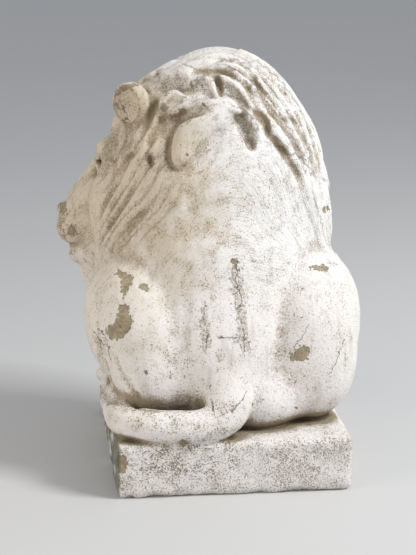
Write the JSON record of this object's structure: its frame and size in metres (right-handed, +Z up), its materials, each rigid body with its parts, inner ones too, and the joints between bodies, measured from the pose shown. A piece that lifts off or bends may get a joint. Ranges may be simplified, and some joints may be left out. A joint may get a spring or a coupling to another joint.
{
  "type": "stone lion statue",
  "caption": "Seated stone lion on a block plinth, head turned to its own left, tail laid round the base; worn off-white painted stone.",
  "frame": {"origin": "middle of the plinth's flat underside", "axes": "+Z up, the lion's body faces -Y, its left side is +X and its head is turned 60 degrees towards +X"},
  "size_m": [0.5353, 0.494, 0.72],
  "materials": {
    "painted_stone": "matt limewash worn off in flakes, with dirt in the hollows and bare, mossy stone on the plinth"
  },
  "bodies": {
    "root": {"lion_statue": "painted_stone"}
  },
  "joints": []
}
